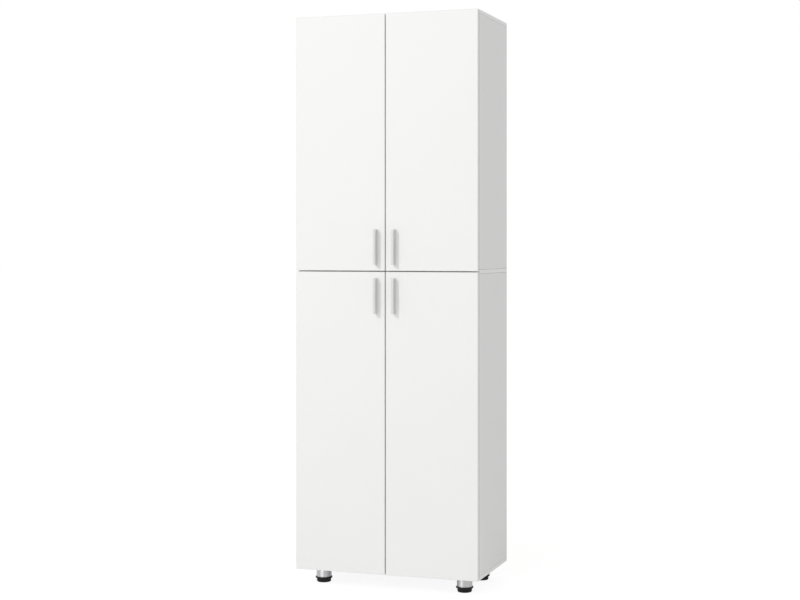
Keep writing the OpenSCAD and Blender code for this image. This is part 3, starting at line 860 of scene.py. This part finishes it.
buffer_boxes = solid_boxes("door_buffers")
buffer_radius = (buffer_boxes[0][1].x - buffer_boxes[0][0].x) / 2
buffer_height = buffer_boxes[0][1].y - buffer_boxes[0][0].y
rim = 0.35
angles = [math.radians(degrees) for degrees in (0, 20, 40, 60, 75)]
dome = [(buffer_radius * math.cos(a), buffer_height * (rim + (1 - rim) * math.sin(a))) for a in angles]
profile = [(0, 0), (buffer_radius, 0)] + dome + [(0, buffer_height)]
template = new_piece(lathe(profile, steps=28), "door_buffer")
points = [(((low.x + high.x) / 2, high.y, (low.z + high.z) / 2), (0, -1, 0)) for low, high in buffer_boxes]
values = {"Template": template, "Largest Turn": 0.0, "Finish": soft_plastic()}
set_at_points(
    "door_buffer_set", points, pieces_at_points, values, "carcass", "door_buffers"
)

# Legs
# Each leg is a chromed steel tube, pressed on to a black lacquered plate that four screws hold under the
# bottom board. A black plastic plug with a thread sits in the tube's lower end.


def soft_black(name, color, roughness, grain):
    """Black plastic or lacquer with a fine grain and slightly uneven gloss."""
    finish, tree, shader, place = new_finish(name, color, roughness)
    shader.inputs["Specular IOR Level"].default_value = 0.3
    shaded = mottled(tree, place, (*color, 1), patches_per_metre=120.0, amount=0.25)
    tree.links.new(shaded.outputs["Color"], shader.inputs["Base Color"])
    uneven_gloss(tree, shader, shaded.outputs["Value"], roughness - 0.06, roughness + 0.06)
    grained(tree, shader, place, *grain)
    return finish


plastic_grain = (2200.0, 0.00003)
lacquer_grain = (1500.0, 0.00002)
chrome_grain = (400.0, 0.000004)
black_plastic = soft_black("black_plastic", (0.012, 0.012, 0.0125), roughness=0.42, grain=plastic_grain)
black_lacquer = soft_black("black_lacquer", (0.030, 0.030, 0.031), roughness=0.36, grain=lacquer_grain)
chrome = plated("brushed_chrome", (0.64, 0.64, 0.65), roughness=0.30, grain=chrome_grain, mottling=0.05)
# The tubes were polished as they turned. Their fine rings stretch what they mirror upright.
turned_upright = 0.25
chrome_inputs = chrome.node_tree.nodes["Principled BSDF"].inputs
chrome_inputs["Anisotropic"].default_value = 0.75
chrome_inputs["Anisotropic Rotation"].default_value = turned_upright

plate_boxes = solid_boxes("leg_plates")
plate_corners = [(x, y) for low, high in plate_boxes for x in (low.x, high.x) for y in (low.y, high.y)]
plates = new_piece(merged_copy("leg_plates"), "leg_plate_set")
near = 1e-5
at_corner = [
    any(abs(v.co.x - x) < near and abs(v.co.y - y) < near for x, y in plate_corners)
    for v in plates.data.vertices
]
weights = []
for edge in plates.data.edges:
    first, second = (plates.data.vertices[i].co for i in edge.vertices)
    upright = (first - second).to_2d().length < near
    weights.append(1.0 if upright and at_corner[edge.vertices[0]] else 0.0)
plate_corner_radius = 0.006
plate_edge_radius = 0.0003
round_edges(plates, plate_corner_radius, steps=6, weights=weights)
round_edges(plates, plate_edge_radius, steps=2)
plates.data.materials.append(black_lacquer)
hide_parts("leg_plates")
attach(plates, "carcass")

tube_boxes = solid_boxes("leg_tubes")
tube_radius = (tube_boxes[0][1].x - tube_boxes[0][0].x) / 2
tube_height = tube_boxes[0][1].z - tube_boxes[0][0].z
tube_wall = 0.0012
bore_radius = tube_radius - tube_wall
lip = 0.0004
profile = [
    (bore_radius + lip, 0),
    (tube_radius - lip, 0),
    (tube_radius, lip),
    (tube_radius, tube_height - lip),
    (tube_radius - lip, tube_height),
    (bore_radius + lip, tube_height),
    (bore_radius, tube_height - lip),
    (bore_radius, lip),
]
template = new_piece(lathe(profile, steps=96, closed=True), "leg_tube")
points = [(((low.x + high.x) / 2, (low.y + high.y) / 2, low.z), (0, 0, 1)) for low, high in tube_boxes]
values = {"Template": template, "Largest Turn": 0.0, "Finish": chrome}
set_at_points("leg_tube_set", points, pieces_at_points, values, "carcass", "leg_tubes")
refinish("leg_plugs", black_plastic)

# Levelling feet
# Moulded black plastic. A rim covers the end of the tube, and the ribs below it give the fingers a grip to
# turn the foot. Its threaded stem screws up into the plug.


def ribbed_foot_tree():
    """Grip ribs round a foot's body, its threaded stem, and its place under the leg."""
    tree, given, feed = new_group(
        "ribbed_foot",
        "GeometryNodeTree",
        [
            ("Geometry", "NodeSocketGeometry", None),
            ("Rib Count", "NodeSocketInt", 28),
            ("Rib Radius", "NodeSocketFloat", 0.0009),
            ("Rib Length", "NodeSocketFloat", 0.007),
            ("Rib Height", "NodeSocketFloat", 0.006),
            ("Ring Radius", "NodeSocketFloat", 0.022),
            ("Stem Radius", "NodeSocketFloat", 0.005),
            ("Stem Length", "NodeSocketFloat", 0.028),
            ("Stem Base", "NodeSocketFloat", 0.017),
            ("Place", "NodeSocketVector", None),
            ("Finish", "NodeSocketMaterial", None),
        ],
        [("Geometry", "NodeSocketGeometry")],
    )
    circle = {"Vertices": given.outputs["Rib Count"], "Radius": given.outputs["Ring Radius"]}
    ring = add(tree, "GeometryNodeMeshCircle", circle)
    ball = {"Segments": 10, "Rings": 8, "Radius": given.outputs["Rib Radius"]}
    rib = add(tree, "GeometryNodeMeshUVSphere", ball)
    half_length = maths(tree, "MULTIPLY", given.outputs["Rib Length"], 0.5)
    stretch = maths(tree, "DIVIDE", half_length, given.outputs["Rib Radius"])
    rib_scale = add(tree, "ShaderNodeCombineXYZ", {"X": 1.0, "Y": 1.0, "Z": stretch})
    rib_place = add(tree, "ShaderNodeCombineXYZ", {"Z": given.outputs["Rib Height"]})
    tall_rib = add(
        tree,
        "GeometryNodeTransform",
        {"Geometry": rib.outputs["Mesh"], "Translation": rib_place.outputs[0], "Scale": rib_scale.outputs[0]},
    )
    placed = add(
        tree,
        "GeometryNodeInstanceOnPoints",
        {"Points": ring.outputs["Mesh"], "Instance": tall_rib.outputs["Geometry"]},
    )
    ribs = add(tree, "GeometryNodeRealizeInstances", {"Geometry": placed.outputs["Instances"]})
    body = add(tree, "GeometryNodeMeshBoolean", operation="UNION", solver="EXACT")
    tree.links.new(given.outputs["Geometry"], body.inputs["Mesh 2"])
    tree.links.new(ribs.outputs["Geometry"], body.inputs["Mesh 2"])
    shortest_edge = 0.000002
    slivers = {"Geometry": body.outputs["Mesh"], "Distance": shortest_edge}
    clean = add(tree, "GeometryNodeMergeByDistance", slivers)
    stem = add(tree, "GeometryNodeGroup", node_tree=threaded_rod)
    for label, source in (("Radius", "Stem Radius"), ("Length", "Stem Length")):
        tree.links.new(given.outputs[source], stem.inputs[label])
    stem.inputs["Thread Pitch"].default_value = 0.0015
    stem.inputs["Thread Depth"].default_value = 0.0008
    stem.inputs["Tip"].default_value = 0.001
    stem_up = raised(tree, stem.outputs[0], given.outputs["Stem Base"])
    whole = add(tree, "GeometryNodeJoinGeometry")
    tree.links.new(clean.outputs["Geometry"], whole.inputs[0])
    tree.links.new(stem_up, whole.inputs[0])
    moved = add(
        tree,
        "GeometryNodeTransform",
        {"Geometry": whole.outputs["Geometry"], "Translation": given.outputs["Place"]},
    )
    end_tree(tree, given, feed, moved.outputs["Geometry"])
    return tree


# The moulding's outline from the floor up, as radius and height.
foot_profile = [
    (0, 0),
    (0.0197, 0),
    (0.0208, 0.0004),
    (0.0216, 0.0012),
    (0.0220, 0.0024),
    (0.0223, 0.0092),
    (0.0231, 0.0104),
    (0.0262, 0.0121),
    (0.0268, 0.0128),
    (0.0270, 0.0138),
    (0.0270, 0.0158),
    (0.0267, 0.0166),
    (0.0260, 0.0170),
    (0, 0.0170),
]
ribbed_foot = ribbed_foot_tree()
for end in ("front", "rear"):
    for side in ("left", "right"):
        node = f"{end}_{side}_foot"
        low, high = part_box(node)
        piece = new_piece(lathe(foot_profile, steps=84), node + "_moulding")
        values = {
            "Stem Base": foot_profile[-1][1],
            "Stem Length": high.z - foot_profile[-1][1],
            "Place": ((low.x + high.x) / 2, (low.y + high.y) / 2, 0.0),
            "Finish": black_plastic,
        }
        run_tree(piece, ribbed_foot, values)
        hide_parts(node)
        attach(piece, f"{end}_{side}_levelling_foot")

# Doors
# White faced chipboard 15 mm thick, with an edging strip all round. Each carries two hinge cups of pressed
# steel with their pins and screws, and the bar handle with its two screws put in from behind.


def satin_aluminium():
    """Anodised aluminium, brushed along the bar before it was anodised."""
    color = (0.76, 0.76, 0.77)
    finish, tree, shader, place = new_finish("satin_aluminium", color, roughness=0.32, metallic=1.0)
    stretch = add(tree, "ShaderNodeMapping", {"Vector": place, "Scale": (1.0, 1.0, 0.012)})
    along = stretch.outputs["Vector"]
    lines = mottled(tree, along, (0.81, 0.81, 0.815, 1), patches_per_metre=5200.0, amount=0.1)
    tree.links.new(lines.outputs["Color"], shader.inputs["Base Color"])
    uneven_gloss(tree, shader, lines.outputs["Value"], lowest=0.26, highest=0.38)
    bump(tree, shader, lines.outputs["Value"], depth=0.000008)
    return finish


door_white = (0.925, 0.925, 0.916)
# The doors' edging strips are a shade greyer than their faces: painted shade that darkens the seams between
# the doors.
door_strip_seam_shade_white = (0.90, 0.90, 0.895)
upright_face = (1, 0, 1)
door_edge_radius = 0.0008
cup_edge_radius = 0.00015
pin_edge_radius = 0.0003
handle_edge_radius = 0.0009
brushed_bar = satin_aluminium()
handle_screw = (0.004, 0.0022, 0.0019)
for number, door in enumerate(("lower_left", "lower_right", "upper_left", "upper_right")):
    leaf = door + "_leaf"
    node = door + "_door"
    finish = melamine(node + "_white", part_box(node), upright_face, door_white, door_strip_seam_shade_white)
    faced_board(node, leaf, finish, door_edge_radius, [])
    pressed_metal(door + "_hinge_cups", leaf, cup_edge_radius, door + "_pressed_cups")
    pressed_metal(door + "_hinge_pins", leaf, pin_edge_radius, door + "_riveted_pins")
    node = door + "_handle"
    piece = new_piece(merged_copy(node), door + "_bar_handle")
    round_edges(piece, handle_edge_radius, steps=3, weights=outer_edges(piece.data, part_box(node)))
    piece.data.materials.append(brushed_bar)
    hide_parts(node)
    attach(piece, leaf)
    set_screws(door + "_cup_screws", leaf, front_to_back, way=-1, sizes=wood_screw, seed=20 + number)
    set_screws(door + "_handle_screws", leaf, front_to_back, way=-1, sizes=handle_screw, seed=30 + number)

# Floor and light
# A plain pale floor that keeps the cabinet's shadow, and a white room. A soft lamp high up in front and to
# the left throws the handles' shadows down and to the right, and a wide weak one in front lightens them. A
# low strip lamp lights nothing but the legs, and gives the tubes their bright upright streak.
floor_mesh = bpy.data.meshes.new("studio_floor")
floor_reach = 60.0
corners = [(x * floor_reach, y * floor_reach, 0) for x, y in ((-1, -1), (1, -1), (1, 1), (-1, 1))]
floor_mesh.from_pydata(corners, [], [(0, 1, 2, 3)])
floor = bpy.data.objects.new("studio_floor", floor_mesh)
bpy.context.scene.collection.objects.link(floor)


def seen_share(tree, by_camera, in_mirrors):
    """A share for the camera's own rays, another for reflections and glass, and none for light given off."""
    path = add(tree, "ShaderNodeLightPath")
    mirrored = maths(tree, "MAXIMUM", path.outputs["Is Glossy Ray"], path.outputs["Is Transmission Ray"])
    mirror_share = maths(tree, "MULTIPLY", mirrored, in_mirrors)
    return maths(tree, "MULTIPLY_ADD", path.outputs["Is Camera Ray"], by_camera, mirror_share)


pale_floor = bpy.data.materials.new("pale_floor")
pale_floor.use_nodes = True
tree = pale_floor.node_tree
tree.nodes.clear()
matt = add(tree, "ShaderNodeBsdfDiffuse", {"Color": (0.88, 0.88, 0.88, 1)})
glow = add(tree, "ShaderNodeEmission", {"Color": (1, 1, 1, 1), "Strength": 1.12})
seen = seen_share(tree, by_camera=0.8, in_mirrors=0.2)
mixed = add(tree, "ShaderNodeMixShader", {0: seen, 1: matt.outputs[0], 2: glow.outputs[0]})
add(tree, "ShaderNodeOutputMaterial", {"Surface": mixed.outputs[0]})
floor_mesh.materials.append(pale_floor)

world = bpy.data.worlds.new("white_room")
bpy.context.scene.world = world
world.use_nodes = True
tree = world.node_tree
tree.nodes.clear()
room_light = add(tree, "ShaderNodeBackground", {"Color": (1, 1, 1, 1), "Strength": 0.635})
room_seen = add(tree, "ShaderNodeBackground", {"Color": (1, 1, 1, 1), "Strength": 1.0})
seen = seen_share(tree, by_camera=1.0, in_mirrors=1.0)
mixed = add(tree, "ShaderNodeMixShader", {0: seen, 1: room_light.outputs[0], 2: room_seen.outputs[0]})
add(tree, "ShaderNodeOutputWorld", {"Surface": mixed.outputs[0]})


def studio_lamp(name, width, height, energy, place, target):
    """A lamp with a soft white screen, turned to a point. The screen is round if it is as wide as high."""
    data = bpy.data.lights.new(name, "AREA")
    data.shape = "DISK" if width == height else "RECTANGLE"
    data.size = width
    data.size_y = height
    data.energy = energy
    lamp = bpy.data.objects.new(name, data)
    lamp.location = place
    lamp.rotation_euler = (Vector(target) - lamp.location).to_track_quat("-Z", "Y").to_euler()
    bpy.context.scene.collection.objects.link(lamp)
    return lamp


studio_lamp(
    "key_lamp", width=1.06, height=1.06, energy=154, place=(-3.13, -5.91, 4.57), target=(4.5, -0.16, 2.5)
)
fill_lamp = studio_lamp(
    "fill_lamp", width=3.5, height=3.5, energy=38, place=(-1.5, -5.6, 3.0), target=(0, -0.16, 1.2)
)
fill_lamp.visible_glossy = False
leg_lamp = studio_lamp(
    "leg_lamp", width=0.65, height=0.20, energy=1.35, place=(-0.33, -0.87, 0.11), target=(0, -0.1, 0.03)
)
leg_lamp.visible_camera = False
leg_lamp.visible_diffuse = False
lit_pieces = bpy.data.collections.new("lit_by_leg_lamp")
for piece in bpy.data.objects:
    if piece.name == "leg_tube_set" or piece.name.endswith("_foot_moulding"):
        lit_pieces.objects.link(piece)
leg_lamp.light_linking.receiver_collection = lit_pieces

bpy.context.scene.view_settings.view_transform = "Standard"
